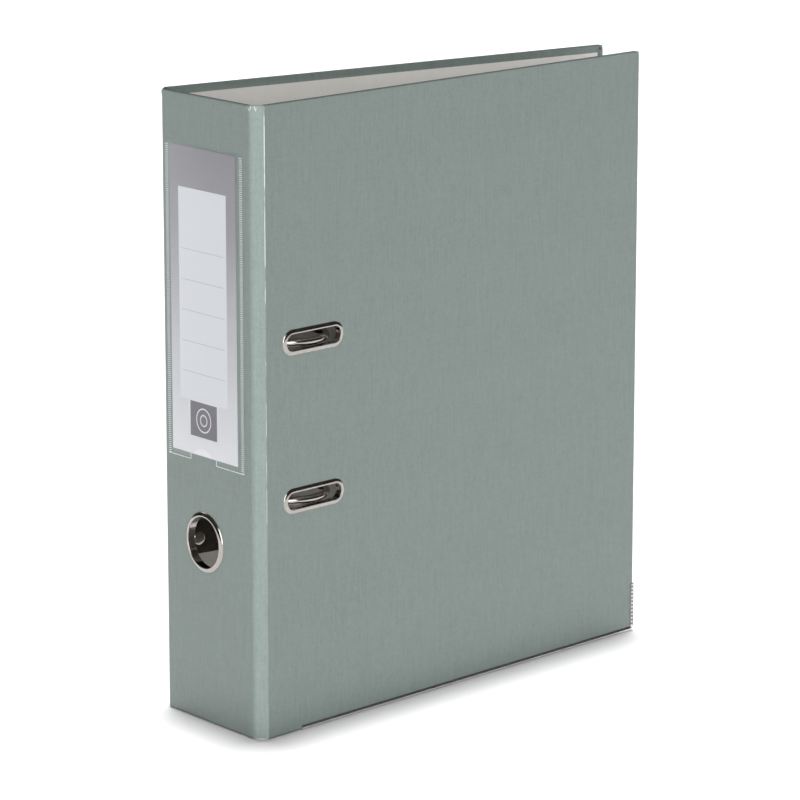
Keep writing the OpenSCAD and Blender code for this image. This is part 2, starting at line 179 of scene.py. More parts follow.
def open_hole(bm, level, x, z, length, height, margin=6):
    """Opens a hole with round ends in the flat faces at this depth."""
    reach_x = length / 2 + margin
    reach_z = height / 2 + margin
    cut_sheet(bm, level, [
        ("X", x - reach_x), ("X", x + reach_x), ("Z", z - reach_z), ("Z", z + reach_z),
    ])
    middle = Vector((x, level, z))
    cell = min(flat_faces(bm, level), key=lambda f: (f.calc_center_median() - middle).length)
    border = cell.edges[:]
    bmesh.ops.delete(bm, geom=[cell], context="FACES_ONLY")
    steps = 40
    upright = Matrix.Rotation(pi / 2, 4, "X") @ Matrix.Rotation(pi / steps, 4, "Z")
    ring = bmesh.ops.create_circle(
        bm, segments=steps, radius=height / 2, matrix=Matrix.Translation(middle) @ upright,
    )["verts"]
    for vert in ring:
        vert.co.x += (length - height) / 2 * (1 if vert.co.x > x else -1)
    ring_edges = list({e for v in ring for e in v.link_edges})
    bmesh.ops.triangle_fill(
        bm, edges=border + ring_edges, use_beauty=True, use_dissolve=False, normal=(0, -1, 0),
    )


def finished(name, bm, place, *looks, sharp=35):
    """Puts a closed mesh in its place, with its faces pointing out and its hard edges kept."""
    bm.transform(place)
    bmesh.ops.remove_doubles(bm, verts=bm.verts[:], dist=2e-7)
    bmesh.ops.recalc_face_normals(bm, faces=bm.faces[:])
    for face in bm.faces:
        face.smooth = True
    for edge in bm.edges:
        edge.smooth = edge.calc_face_angle(0) < radians(sharp)
    mesh = bpy.data.meshes.new(name)
    bm.to_mesh(mesh)
    bm.free()
    for look in looks:
        mesh.materials.append(look)
    piece = bpy.data.objects.new(name, mesh)
    bpy.context.scene.collection.objects.link(piece)
    return piece


def even_shading(piece):
    """Lets the large flat faces keep their own shading beside small rounded ones."""
    shading = piece.modifiers.new("even_shading", "WEIGHTED_NORMAL")
    shading.keep_sharp = True
    shading.weight = 100


def wall(piece, thickness):
    """Gives an open shell its sheet thickness, inwards."""
    sheet = piece.modifiers.new("sheet", "SOLIDIFY")
    sheet.thickness = thickness / 1000
    sheet.offset = -1


def node(look, kind, inputs=(), **settings):
    """Adds a shader node, sets its properties, and sets or links its inputs."""
    made = look.node_tree.nodes.new("ShaderNode" + kind)
    for key, value in settings.items():
        setattr(made, key, value)
    for key, value in dict(inputs).items():
        if isinstance(value, bpy.types.NodeSocket):
            look.node_tree.links.new(value, made.inputs[key])
        else:
            made.inputs[key].default_value = value
    return made


def new_look(name, roughness, metallic=0.0, **sockets):
    """A material with its own shader. Other socket names are given with _ for a space."""
    look = bpy.data.materials.new(name)
    look.use_nodes = True
    shader = look.node_tree.nodes["Principled BSDF"]
    shader.inputs["Roughness"].default_value = roughness
    shader.inputs["Metallic"].default_value = metallic
    for key, value in sockets.items():
        shader.inputs[key.replace("_", " ")].default_value = value
    return look


def link(look, output, socket):
    """Links an output to a socket of the look's shader."""
    look.node_tree.links.new(output, look.node_tree.nodes["Principled BSDF"].inputs[socket])


def pattern(look, scale, stretch=(1, 1, 1), detail=3.0, roughness=0.55):
    """Noise on the piece's own coordinates, in features per metre, longer along a small stretch."""
    where = node(look, "TexCoord")
    mapped = node(look, "Mapping", {"Vector": where.outputs["Object"], "Scale": stretch})
    noise = node(look, "TexNoise", {
        "Vector": mapped.outputs["Vector"], "Scale": scale, "Detail": detail, "Roughness": roughness,
    })
    return noise.outputs["Fac"]


def spread(look, value, low, high):
    """Carries a 0 to 1 pattern to between low and high."""
    return node(look, "MapRange", {"Value": value, "To Min": low, "To Max": high}).outputs["Result"]


def total(look, *values):
    """Adds patterns up."""
    done = values[0]
    for value in values[1:]:
        done = node(look, "Math", {0: done, 1: value}, operation="ADD").outputs["Value"]
    return done


def ramp(look, value, stops):
    """Colours for a pattern, as (position, colour) stops."""
    made = node(look, "ValToRGB", {"Fac": value})
    elements = made.color_ramp.elements
    elements[0].position, elements[0].color = stops[0][0], (*stops[0][1], 1)
    elements[1].position, elements[1].color = stops[-1][0], (*stops[-1][1], 1)
    for position, colour in stops[1:-1]:
        elements.new(position).color = (*colour, 1)
    return made.outputs["Color"]


def shaded(colour, amount):
    """The colour, darker or lighter."""
    return tuple(c * amount for c in colour)


def roughen(look, height, distance, strength=1.0):
    """Bump from a pattern, with its depth in metres."""
    bump = node(look, "Bump", {"Height": height, "Distance": distance, "Strength": strength})
    link(look, bump.outputs["Normal"], "Normal")


def share_along(look, place, start, end):
    """0 to 1 across a piece, from one distance in mm to another along the X of its place."""
    along = Vector(place.col[0][:3]).normalized()
    origin = along.dot(place.translation)
    where = node(look, "TexCoord").outputs["Object"]
    run = node(look, "VectorMath", {0: where, 1: along}, operation="DOT_PRODUCT").outputs["Value"]
    low, high = origin + start / 1000, origin + end / 1000
    return node(look, "MapRange", {"Value": run, "From Min": low, "From Max": high}).outputs["Result"]


def film_look(name, colour, paling=None):
    """Semi-gloss film: upright linen threads, a weaker cross thread and broad soft banding, which is
    painted sheen in the colour and real in the roughness.
    It pales across a part, given as (place, start, end, amount): on the hinge strips partly stretch,
    partly painted light."""
    look = new_look(name, 0.42, Coat_Weight=0.15, Coat_Roughness=0.14)
    threads = pattern(look, 1150, (1, 1, 0.045), 4.0, 0.6)
    cross = pattern(look, 900, (0.05, 0.05, 1.3), 2.0)
    mottle = pattern(look, 420, (1, 1, 0.6), 5.0, 0.7)
    sheen_bands = pattern(look, 22, (0.12, 0.12, 1), 2.0, 0.4)
    fine = pattern(look, 1300, (1, 1, 0.7), 2.0, 0.7)
    mix = total(
        look, spread(look, threads, -0.7, 0.7), spread(look, cross, -0.20, 0.20),
        spread(look, fine, -0.8, 0.8), spread(look, mottle, -0.6, 0.6), spread(look, sheen_bands, 0.28, 0.72),
    )
    colours = ramp(look, mix, [
        (0.05, shaded(colour, 0.87)), (0.45, (colour[0], colour[1] * 1.005, colour[2] * 0.99)),
        (0.95, (colour[0] * 1.12, colour[1] * 1.10, colour[2] * 1.14)),
    ])
    # Paling a part: on the hinge strips partly the film's stretch, partly painted light.
    if paling:
        place, start, end, amount = paling
        paler = spread(look, share_along(look, place, start, end), 1.0, amount)
        scaled = node(look, "VectorMath", {0: colours, "Scale": paler}, operation="SCALE")
        colours = scaled.outputs["Vector"]
    link(look, colours, "Base Color")
    dullness = total(look, threads, spread(look, sheen_bands, -0.2, 0.2))
    link(look, spread(look, dullness, 0.32, 0.50), "Roughness")
    grain = total(look, spread(look, threads, 0, 0.8), spread(look, cross, 0, 0.25))
    roughen(look, grain, 0.00006, 0.8)
    return look


film_colour = (0.155, 0.193, 0.180)
film = film_look("linen_film", film_colour)

paper_colour = (0.655, 0.637, 0.605)
lining = new_look("lining_paper", 0.82)
fibres = pattern(lining, 700, (1, 1, 0.5), 5.0, 0.65)
clouds = pattern(lining, 45, (1, 1, 1), 2.0)
link(lining, ramp(
    lining, total(lining, spread(lining, fibres, -0.3, 0.3), clouds),
    [(0.2, shaded(paper_colour, 0.94)), (0.8, shaded(paper_colour, 1.04))],
), "Base Color")
roughen(lining, fibres, 0.00003)

slot_x = 32.5
slot_length = 37.5
slot_height = 8.3
slot_middles = (119, 199)
ring_x = 38.8
ring_z = 93.3
ring_radius = 13
hole_clearance = 0.9
slot_cut = (slot_length + hole_clearance, slot_height + hole_clearance)
ring_cut = (2 * ring_radius + hole_clearance, 2 * ring_radius + hole_clearance)
turn_in_ends = (cover_foot + turn_in_width, cover_top - turn_in_width)


def strip_under_lining(bm, far):
    """Takes away the inner face between the turn-ins, which the lining covers."""
    cut_sheet(bm, cover_thickness, [("Z", turn_in_ends[0]), ("Z", turn_in_ends[1]), ("X", far)])
    hidden = []
    for face in bm.faces:
        middle = face.calc_center_median()
        if abs(middle.y - cover_thickness) < 1e-4 and middle.x < far:
            if turn_in_ends[0] < middle.z < turn_in_ends[1]:
                hidden.append(face)
    bmesh.ops.delete(bm, geom=hidden, context="FACES")


def paper_on_ends(bm, crease_lines):
    """Puts the lining paper on a board's ends at its creases, between the turn-ins."""
    def ends():
        return [
            f for f in bm.faces
            if abs(f.normal.x) > 0.7
            and any(abs(f.calc_center_median().x - x) < 2 for x in crease_lines)
        ]
    for level in turn_in_ends:
        cut_faces(bm, ends(), "Z", level)
    for face in ends():
        between = turn_in_ends[0] < face.calc_center_median().z < turn_in_ends[1]
        face.material_index = int(between)


def cover_film(fold):
    """The film of one cover, from its crease to its fore edge."""
    mitre = cover_thickness * tan(fold / 2)
    outline = half_fold(cover_fold_radius, fold) + [
        (cover_width, 0), (cover_width, cover_thickness), (mitre, cover_thickness),
    ]
    bm = upright_slab(outline, cover_foot, cover_top)
    round_fore_corners(bm, fore_corner_radius)
    round_outer_edges(bm, film_edge_radius, [-1])
    strip_under_lining(bm, cover_width - turn_in_width)
    paper_on_ends(bm, [0])
    return bm


def thin_ridge(bm, x, y, z, length, lean, wide, narrow):
    """A raised crease in the film, tapering downwards from a point, leaning by an angle."""
    hung = Matrix.Rotation(lean, 4, "Y") @ Matrix.Translation((0, 0, -length / 2))
    bmesh.ops.create_cone(
        bm, cap_ends=True, segments=10, radius1=narrow, radius2=wide, depth=length,
        matrix=Matrix.Translation((x, y, z)) @ hung,
    )


pit_radius = 0.95
pit_inset = (2.5, 2.3)
pleats = ((0.9, 2.6), (1.25, 2.9), (2.2, 1.6), (-0.05, 5.5), (0.12, 3.2))


def corner_folds():
    """Film bunched on the inside of the upper fore corner: a pit with pleats running off it. The pit is
    painted near-black as painted shade in the hollow.
    """
    x = cover_width - pit_inset[0]
    z = cover_top - pit_inset[1]
    bm = bmesh.new()
    pit = Matrix.Translation((x, cover_thickness, z)) @ Matrix.Diagonal((1, 0.3, 1.1, 1))
    bmesh.ops.create_uvsphere(bm, u_segments=16, v_segments=8, radius=pit_radius, matrix=pit)
    for face in bm.faces:
        face.material_index = 1
    for lean, length in pleats:
        thin_ridge(bm, x, cover_thickness + 0.05, z, length, lean, 0.3, 0.08)
    return bm


front_shell = cover_film(front_cover_fold)
for middle in slot_middles:
    open_hole(front_shell, 0, slot_x, middle, *slot_cut)
front_film = finished("front_cover_film", front_shell, front_place, film, lining)
wall(front_film, film_thickness)
even_shading(front_film)
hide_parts("front_covering")
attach(front_film, "front_cover")

back_film = finished("back_cover_film", cover_film(back_cover_fold), back_place, film, lining)
wall(back_film, film_thickness)
even_shading(back_film)
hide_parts("back_covering")
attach(back_film, "back_cover")

# The corner pit's near-black colour is painted shade.
pit_shade = film_look("painted_pit_shade", shaded(film_colour, 0.06))
for name, body, place in (("front", "front_cover", front_place), ("back", "back_cover", back_place)):
    folds = finished(name + "_cover_corner_folds", corner_folds(), place, film, pit_shade)
    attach(folds, body)

spine_mitre = cover_thickness * tan(spine_fold / 2)
near_fold = half_fold(spine_fold_radius, spine_fold)
far_fold = [(spine_width - x, y) for x, y in reversed(near_fold)]
inner_side = [(spine_width - spine_mitre, cover_thickness), (spine_mitre, cover_thickness)]
spine_shell = upright_slab(near_fold + far_fold + inner_side, cover_foot, cover_top)
round_outer_edges(spine_shell, film_edge_radius, [-1, 1])
strip_under_lining(spine_shell, spine_width)
paper_on_ends(spine_shell, [0, spine_width])
open_hole(spine_shell, 0, ring_x, ring_z, *ring_cut)
spine_film = finished("spine_film", spine_shell, spine_place, film, lining)
wall(spine_film, film_thickness)
even_shading(spine_film)
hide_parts("spine_covering")
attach(spine_film, "spine")

# ---- Grey boards inside the film ----
# Each cover and the spine is a stiff sheet of pressed grey board, cut square and drilled for its
# metal parts. The boards lie in the film, which is glued down on them.

board_gap = 1.4
board_deep = (0.35, 2.15)

board_look = new_look("grey_board", 0.9)
layers = pattern(board_look, 1400, (0.15, 1, 0.15), 3.0)
flecks = pattern(board_look, 500, (1, 1, 1), 5.0, 0.7)
link(board_look, ramp(
    board_look, total(board_look, spread(board_look, layers, -0.25, 0.25), flecks),
    [(0.25, (0.17, 0.155, 0.135)), (0.75, (0.29, 0.268, 0.235))],
), "Base Color")
roughen(board_look, flecks, 0.00008)


def flat_sheet(near, far, foot, top, depth, holes=(), corner=0.0):
    """A flat sheet with holes, from one depth to another, with its far corners rounded."""
    bm = bmesh.new()
    corners = [(near, foot), (far, foot), (far, top), (near, top)]
    bm.faces.new([bm.verts.new((x, depth[0], z)) for x, z in corners])
    if corner:
        rounded = [v for v in bm.verts if v.co.x == far]
        bmesh.ops.bevel(
            bm, geom=rounded, offset=corner, offset_type="OFFSET", segments=6,
            profile=0.5, affect="VERTICES", clamp_overlap=True, material=-1,
        )
    for x, z, length, height in holes:
        open_hole(bm, depth[0], x, z, length, height, 4)
    thicken(bm, (0, depth[1] - depth[0], 0))
    return bm


slot_holes = [(slot_x, z, *slot_cut) for z in slot_middles]
ring_hole = [(ring_x, ring_z, *ring_cut)]
board_inset = 0.4
board_foot = cover_foot + board_inset
board_top = cover_top - board_inset
board_corner = 2.4
for name, body, near, far, holes, place in (
    ("front_board", "front_cover", board_gap, cover_width - board_inset, slot_holes, front_place),
    ("back_board", "back_cover", board_gap, cover_width - board_inset, [], back_place),
    ("spine_board", "spine", board_gap, spine_width - board_gap, ring_hole, spine_place),
):
    corner = board_corner if body != "spine" else 0
    board = finished(
        name + "_core", flat_sheet(near, far, board_foot, board_top, board_deep, holes, corner),
        place, board_look,
    )
    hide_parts(name)
    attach(board, body)

# ---- Lining ----
# Warm light grey paper glued inside each cover and the spine, over the film's turn-ins. Its edge
# stands a little proud of them.

lining_deep = (2.2, 2.58)
lining_foot, lining_top = turn_in_ends
lining_gap = 1.3
for name, body, near, far, holes, place in (
    ("front_lining", "front_cover", lining_gap, cover_width - turn_in_width, slot_holes, front_place),
    ("back_lining", "back_cover", lining_gap, cover_width - turn_in_width, [], back_place),
    ("spine_lining", "spine", spine_mitre, spine_width - spine_mitre, ring_hole, spine_place),
):
    sheet = finished(
        name + "_paper", flat_sheet(near, far, lining_foot, lining_top, lining_deep, holes),
        place, lining,
    )
    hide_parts(name)
    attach(sheet, body)

# ---- Hinge strips ----
# Between spine and cover the wrap has no board: film and lining lie on each other. The film is painted
# paler across the strip, partly for its stretch and partly as painted light where the strip faces the
# lamp.
# They turn about a rounded crease at the spine and a sharp one at the cover. A pale line runs down the
# cover crease, wide towards the top, and small pale wrinkles run off the upper end: partly whitened
# film, partly painted highlight.

strip_thickness = 0.9
strip_edge_radius = 0.4
stretch_and_light_paling = (0.2, 2.6, 1.32)
crease_line_length = 210
wrinkle_reaches = ((-0.35, 2.4), (0.35, 1.9))

# Pale patches on the crease line and wrinkles: partly stress-whitened film, partly painted highlight.
whitening_and_glint = new_look("whitened_crease_and_painted_glint", 0.22, Coat_Weight=0.6, Coat_Roughness=0.08)
whitening_and_glint_patches = pattern(whitening_and_glint, 260, (1, 1, 0.3), 3.0)
link(whitening_and_glint, ramp(
    whitening_and_glint, whitening_and_glint_patches, [(0.42, (0.24, 0.29, 0.27)), (0.56, (0.72, 0.76, 0.76))],
), "Base Color")

for name, body, start, end, inward, fold in (
    ("front_hinge_strip", "front_strip", front_spine_crease, front_cover_crease, 1, front_cover_fold),
    ("back_hinge_strip", "back_strip", back_spine_crease, back_cover_crease, -1, back_cover_fold),
):
    length = 1000 * (end - start).length
    spine_end = half_fold(spine_fold_radius, spine_fold)
    cover_end = [(length - x, y) for x, y in reversed(half_fold(cover_fold_radius, fold))]
    outline = spine_end + cover_end + [
        (length - strip_thickness * tan(fold / 2), strip_thickness),
        (strip_thickness * tan(spine_fold / 2), strip_thickness),
    ]
    shell = upright_slab(outline, cover_foot, cover_top)
    round_outer_edges(shell, strip_edge_radius, [-1, 1])
    cut_sheet(shell, strip_thickness, [("Z", lining_foot), ("Z", lining_top)])
    for face in shell.faces:
        middle = face.calc_center_median()
        inner = middle.y > strip_thickness - 1e-3 or abs(face.normal.x) > 0.7
        face.material_index = int(inner and lining_foot < middle.z < lining_top)
    place = upright_place(start, end, inward)
    strip_film = film_look(body + "_film", film_colour, (place, *stretch_and_light_paling))
    strip = finished(name + "_wrap", shell, place, strip_film, lining)
    even_shading(strip)
    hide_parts(name)
    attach(strip, body)
    bm = bmesh.new()
    # A pale line down the cover crease and pale wrinkles at the top, partly a painted highlight.
    thin_ridge(bm, length - 0.1, 0, cover_top - 0.5, crease_line_length, 0, 0.22, 0.07)
    for x in (0.9, 4.0, length - 0.5):
        for lean, reach in wrinkle_reaches:
            thin_ridge(bm, x + 2.2 * lean, 0, cover_top - 0.7, reach, lean, 0.32, 0.08)
    wrinkles = finished(name + "_wrinkles", bm, place, whitening_and_glint)
    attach(wrinkles, body)

# ---- Edge rails ----
# A nickel-plated steel channel is crimped on the bottom edge of each cover and turns up its fore
# edge, where a row of punched dimples grips the board. The dimples are painted near-white as a painted
# highlight, and the upright steel round them is painted darker: partly a duller finish, partly painted
# shade.

rail_sheet = 0.4
rail_start = 23
rail_rise = 26.5
rail_corner = 3.0
dimple_pitch = 2.07
dimple_radius = 0.56
dimple_count = 12
dimple_inset = 1.15
dimple_foot = 2.9

rail_look = new_look("satin_rail", 0.16, 0.95)
rail_marks = pattern(rail_look, 1600, (0.08, 0.08, 1), 4.0)
link(rail_look, ramp(
    rail_look, rail_marks, [(0.3, (0.50, 0.50, 0.49)), (0.7, (0.70, 0.69, 0.67))],
), "Base Color")
link(rail_look, spread(rail_look, rail_marks, 0.10, 0.2), "Roughness")
roughen(rail_look, rail_marks, 0.00002)

# The upright steel is darker than the rail: partly a duller finish, partly painted shade.
upright_steel_with_shade = new_look("dull_steel_and_painted_shade", 0.38, 1.0)
link(upright_steel_with_shade, ramp(
    upright_steel_with_shade, pattern(upright_steel_with_shade, 1200, (1, 1, 0.4), 3.0),
    [(0.3, (0.20, 0.20, 0.19)), (0.7, (0.30, 0.295, 0.285))],
), "Base Color")

# The dimples' near-white colour is a painted highlight.
dimple_highlight_look = new_look("painted_dimple_highlight", 0.4, 0.35)
dents = pattern(dimple_highlight_look, 900, (1, 1, 1), 3.0)
link(dimple_highlight_look, ramp(
    dimple_highlight_look, dents, [(0.3, (0.80, 0.80, 0.80)), (0.7, (0.95, 0.95, 0.94))],
), "Base Color")
roughen(dimple_highlight_look, dents, 0.00001)


def sweep(bm, edges, moves):
    """Carries a chain of edges along runs (an offset) and turns (centre, axis, angle, steps)."""
    for move in moves:
        if len(move) == 3:
            grown = bmesh.ops.extrude_edge_only(bm, edges=edges)["geom"]
            ahead = [v for v in grown if isinstance(v, bmesh.types.BMVert)]
            bmesh.ops.translate(bm, verts=ahead, vec=move)
        else:
            centre, axis, angle, steps = move
            around = edges + list({v for e in edges for v in e.verts})
            grown = bmesh.ops.spin(
                bm, geom=around, cent=centre, axis=axis, dvec=(0, 0, 0), angle=angle,
                steps=steps, use_duplicate=False,
            )["geom_last"]
        edges = [e for e in grown if isinstance(e, bmesh.types.BMEdge)]
    return edges


def loop_of(bm, points):
    """A closed chain of edges through these points."""
    verts = [bm.verts.new(p) for p in points]
    return [bm.edges.new((a, b)) for a, b in zip(verts, verts[1:] + verts[:1])]


lip = cover_thickness + rail_sheet
outer_lip = [
    (0.02, 0.4), (0.02, 2.3), (-0.08, 2.4), (-0.2, 2.38), (-0.3, 2.2), (-0.6, 1.35), (-0.64, 1.15),
    (-0.71, 0.35), (-0.5, 0.12), (-0.25, 0),
]
inner_lip = [
    (-0.15, 0), (0.15, 0.12), (0.31, 0.35), (0.24, 1.15), (0.2, 1.35), (-0.1, 2.2), (-0.2, 2.38),
    (-0.32, 2.4), (-0.42, 2.3), (-0.42, 0.4),
]
rail_profile = outer_lip + [(lip + y, z) for y, z in inner_lip]
upright_lips = (-1.1 * rail_sheet, lip + 0.1 * rail_sheet)
for name, body, place in (
    ("front_edge_rail", "front_cover", front_place),
    ("back_edge_rail", "back_cover", back_place),
):
    bm = bmesh.new()
    outer_x = cover_width + rail_sheet
    section = loop_of(bm, [(rail_start, y, z) for y, z in rail_profile])
    corner = (outer_x - rail_corner, 0, rail_corner)
    first = section[:]
    last = sweep(bm, section, [
        (outer_x - rail_corner - rail_start, 0, 0),
        (corner, (0, 1, 0), -pi / 2, 8),
        (0, 0, rail_rise - rail_corner),
    ])
    bmesh.ops.contextual_create(bm, geom=first)
    bmesh.ops.contextual_create(bm, geom=last)
    for vert in bm.verts:
        if vert.co.z > 1.5 * rail_corner:
            vert.co.y = max(upright_lips[0], min(upright_lips[1], vert.co.y))
    for face in bm.faces:
        face.material_index = int(face.calc_center_median().z > rail_corner)
    rail = finished(name + "_channel", bm, place, rail_look, upright_steel_with_shade)
    even_shading(rail)
    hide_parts(name)
    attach(rail, body)
    bm = bmesh.new()
    flattened = Matrix.Diagonal((1, 0.45, 1, 1)) @ Matrix.Rotation(pi / 2, 4, "X")
    for face_y in upright_lips:
        for k in range(dimple_count):
            at = Matrix.Translation((outer_x - dimple_inset, face_y, dimple_foot + dimple_pitch * k))
            bmesh.ops.create_uvsphere(
                bm, u_segments=12, v_segments=8, radius=dimple_radius, matrix=at @ flattened,
            )
    dimples = finished(name + "_dimples", bm, place, dimple_highlight_look)
    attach(dimples, body)

# ---- Slot eyelets and washers ----
# Nickel-plated eyelets line the two slots that the rings pass through. A rolled rim lies on the
# film, and the tube goes through the cover into a flat washer inside.

rim_width = 2.4
rim_height = 0.75

nickel = new_look("nickel_plate", 0.13, 1.0)
nickel_marks = pattern(nickel, 500, (1, 1, 1), 5.0, 0.6)
link(nickel, ramp(
    nickel, nickel_marks, [(0.3, (0.36, 0.335, 0.315)), (0.7, (0.43, 0.405, 0.38))],
), "Base Color")
link(nickel, spread(nickel, nickel_marks, 0.07, 0.2), "Roughness")
roughen(nickel, nickel_marks, 0.00001)


def round_the_slot(bm, profile, z):
    """Sweeps a closed profile, given as (distance outwards, depth), round a slot."""
    half = (slot_length - slot_height) / 2
    radius = slot_height / 2
    start = loop_of(bm, [(slot_x + half, y, z - radius - out) for out, y in profile])
    sweep(bm, start, [
        ((slot_x + half, 0, z), (0, 1, 0), -pi, 20),
        (-2 * half, 0, 0),
        ((slot_x - half, 0, z), (0, 1, 0), -pi, 20),
        (2 * half, 0, 0),
    ])


def rolled_rim(width, height, tube_end, tube_wall=0.4, lean=2.6, steps=12):
    """Section of an eyelet: a rim rolled higher near the hole and a tube through the cover."""
    arc = []
    for k in range(steps + 1):
        share = (1 + cos(pi * k / steps)) / 2
        arc.append((width * share ** lean, -height * sin(pi * k / steps)))
    tube = [(0, tube_end), (tube_wall / 2, tube_end + 0.15), (tube_wall, tube_end), (tube_wall, 0.1)]
    return arc + tube


eyelet_end = cover_thickness + 0.55
washer_top = lining_deep[1]
washer_profile = [
    (0.45, washer_top), (0.45, washer_top + 0.42), (0.6, washer_top + 0.5),
    (1.75, washer_top + 0.5), (1.95, washer_top + 0.35), (2.0, washer_top),
]
for which, z in zip(("lower", "upper"), slot_middles):
    bm = bmesh.new()
    round_the_slot(bm, rolled_rim(rim_width, rim_height, eyelet_end), z)
    eyelet = finished(which + "_slot_eyelet_rim", bm, front_place, nickel)
    even_shading(eyelet)
    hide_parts(which + "_slot_eyelet")
    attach(eyelet, "front_cover")
    bm = bmesh.new()
    round_the_slot(bm, washer_profile, z)
    washer = finished(which + "_slot_washer_plate", bm, front_place, nickel)
    even_shading(washer)
    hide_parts(which + "_slot_washer")
    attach(washer, "front_cover")

# ---- Finger ring ----
# A nickel-plated eyelet in the spine, wide enough for a finger that pulls the file off a shelf.
# Its rim is rolled higher than those of the slots, and a washer closes it inside.

ring_rim_width = 2.5
ring_rim_height = 1.15


def round_the_ring(bm, profile):
    """Spins a closed profile, given as (distance outwards, depth), round the finger hole."""
    start = loop_of(bm, [(ring_x, y, ring_z - ring_radius - out) for out, y in profile])
    sweep(bm, start, [((ring_x, 0, ring_z), (0, 1, 0), 2 * pi, 72)])


bm = bmesh.new()
round_the_ring(bm, rolled_rim(ring_rim_width, ring_rim_height, eyelet_end))
finger_ring = finished("finger_ring_rim", bm, spine_place, nickel)
even_shading(finger_ring)
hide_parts("finger_ring_eyelet")
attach(finger_ring, "spine")
bm = bmesh.new()
round_the_ring(bm, washer_profile)
ring_washer = finished("finger_ring_washer_plate", bm, spine_place, nickel)
even_shading(ring_washer)
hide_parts("finger_ring_washer")
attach(ring_washer, "spine")

# ---- Label card ----
# A printed card in the pocket: a grey tone that pales downwards, a white panel with ruled lines
# to write on, and a small framed square with a plain ring sign.

card_x = (10, 64.6)
card_z = (137.5, 292)
card_deep = (-0.40, -0.12)
panel_x = (17.9, 57.6)
panel_z = (165, 271.5)
rule_x = (20, 55.5)
rule_z = (240.8, 225.4, 210.0, 194.4, 179.1)
rule_width = 0.34
foot_line = 0.45
frame_x = (25.2, 50.8)
frame_z = (145, 166)
square_x = (26.9, 49.2)
square_z = (146.9, 164.6)


def print_look(name, stops, low=0.0, high=1.0):
    """Printed card whose tone runs from the first stop at height low to the last at high."""
    look = new_look(name, 0.55)
    where = node(look, "TexCoord")
    height = node(look, "SeparateXYZ", {"Vector": where.outputs["Object"]}).outputs["Z"]
    share = node(look, "MapRange", {"Value": height, "From Min": low, "From Max": high})
    grain = pattern(look, 1500, (1, 1, 1), 2.0)
    mix = total(look, share.outputs["Result"], spread(look, grain, -0.02, 0.02))
    link(look, ramp(look, mix, stops), "Base Color")
    roughen(look, grain, 0.00001)
    return look


tone = print_look("card_tone", [
    (0.0, (0.66, 0.66, 0.69)), (0.35, (0.47, 0.47, 0.50)),
    (0.75, (0.27, 0.26, 0.29)), (1.0, (0.22, 0.21, 0.235)),
], card_z[0] / 1000, card_z[1] / 1000)
white = print_look("card_white", [(0, (0.61, 0.615, 0.65)), (1, (0.67, 0.675, 0.71))])
rule_ink = print_look("card_rule", [(0, (0.42, 0.42, 0.44)), (1, (0.46, 0.46, 0.48))])
dark_ink = print_look("card_dark", [(0, (0.12, 0.11, 0.13)), (1, (0.14, 0.13, 0.15))])


def thin_bar(bm, across, upwards, level, thickness):
    """A flat bar between two values of X and of Z, with its middle at this depth."""
    size = (across[1] - across[0], thickness, upwards[1] - upwards[0])
    middle = (sum(across) / 2, level, sum(upwards) / 2)
    at = Matrix.Translation(middle) @ Matrix.Diagonal((*size, 1))
    made = bmesh.ops.create_cube(bm, size=1, matrix=at)["verts"]
    return {f for v in made for f in v.link_faces}


ink_thickness = 0.014
layer_step = 0.015


def printed(bm, across, upwards, layer, ink):
    """A printed field on the card, lifted by its layer's number."""
    level = card_deep[0] - layer_step * layer + ink_thickness / 2
    for face in thin_bar(bm, across, upwards, level, ink_thickness):
        face.material_index = ink


bm = flat_sheet(card_x[0], card_x[1], card_z[0], card_z[1], card_deep)
card = finished("label_card_sheet", bm, spine_place, tone)
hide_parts("label_card")
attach(card, "label_card")

bm = bmesh.new()
printed(bm, panel_x, panel_z, 1, 0)
printed(bm, frame_x, frame_z, 2, 0)
printed(bm, square_x, square_z, 3, 2)
for z in rule_z:
    printed(bm, rule_x, (z - rule_width / 2, z + rule_width / 2), 2, 1)
printed(bm, card_x, (card_z[0], card_z[0] + foot_line), 1, 0)
card_print = finished("label_print", bm, spine_place, white, rule_ink, dark_ink)
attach(card_print, "label_card")

sign_x = (square_x[0] + square_x[1]) / 2
sign_z = (square_z[0] + square_z[1]) / 2
sign_line = ((0, -0.46), (0.7, -0.46), (0.7, -0.44), (0, -0.44))
bm = bmesh.new()
for radius in (5.6, 2.4):
    ring = loop_of(bm, [(sign_x, y, sign_z - radius - out) for out, y in sign_line])
    sweep(bm, ring, [((sign_x, 0, sign_z), (0, 1, 0), 2 * pi, 40)])
card_sign = finished("label_sign", bm, spine_place, white)
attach(card_sign, "label_card")

# ---- Label pocket ----
# Clear film welded to the spine down both sides and along the foot, open at the top. The side
# welds are knurled in small milky ridges, and a thumb notch in the foot lets the card be pushed up.

pocket_x = (4.4, 68.8)
pocket_z = (134, 293)
weld = 3.0
bulge_run = 1.2
foot_bulge_run = 1.0
pocket_sheet = 0.15
weld_level = -0.18
pocket_level = -0.66
notch_reach = 10.9
notch_rise = 7.0

clear = bpy.data.materials.new("clear_film")
clear.use_nodes = True
tree = clear.node_tree
tree.nodes.remove(tree.nodes["Principled BSDF"])
marks = pattern(clear, 300, (1, 1, 0.3), 3.0)
through = node(clear, "BsdfTransparent", {"Color": (0.97, 0.975, 0.975, 1)})
gloss = node(clear, "BsdfGlossy", {
    "Color": (1, 1, 1, 1), "Roughness": spread(clear, marks, 0.05, 0.16),
})
edge_on = node(clear, "LayerWeight", {"Blend": 0.5}).outputs["Facing"]
glancing = node(clear, "Math", {0: edge_on, 1: 4.0}, operation="POWER").outputs["Value"]
both = node(clear, "MixShader", {
    0: spread(clear, glancing, 0.02, 0.3), 1: through.outputs["BSDF"], 2: gloss.outputs["BSDF"],
})
tree.links.new(both.outputs["Shader"], tree.nodes["Material Output"].inputs["Surface"])

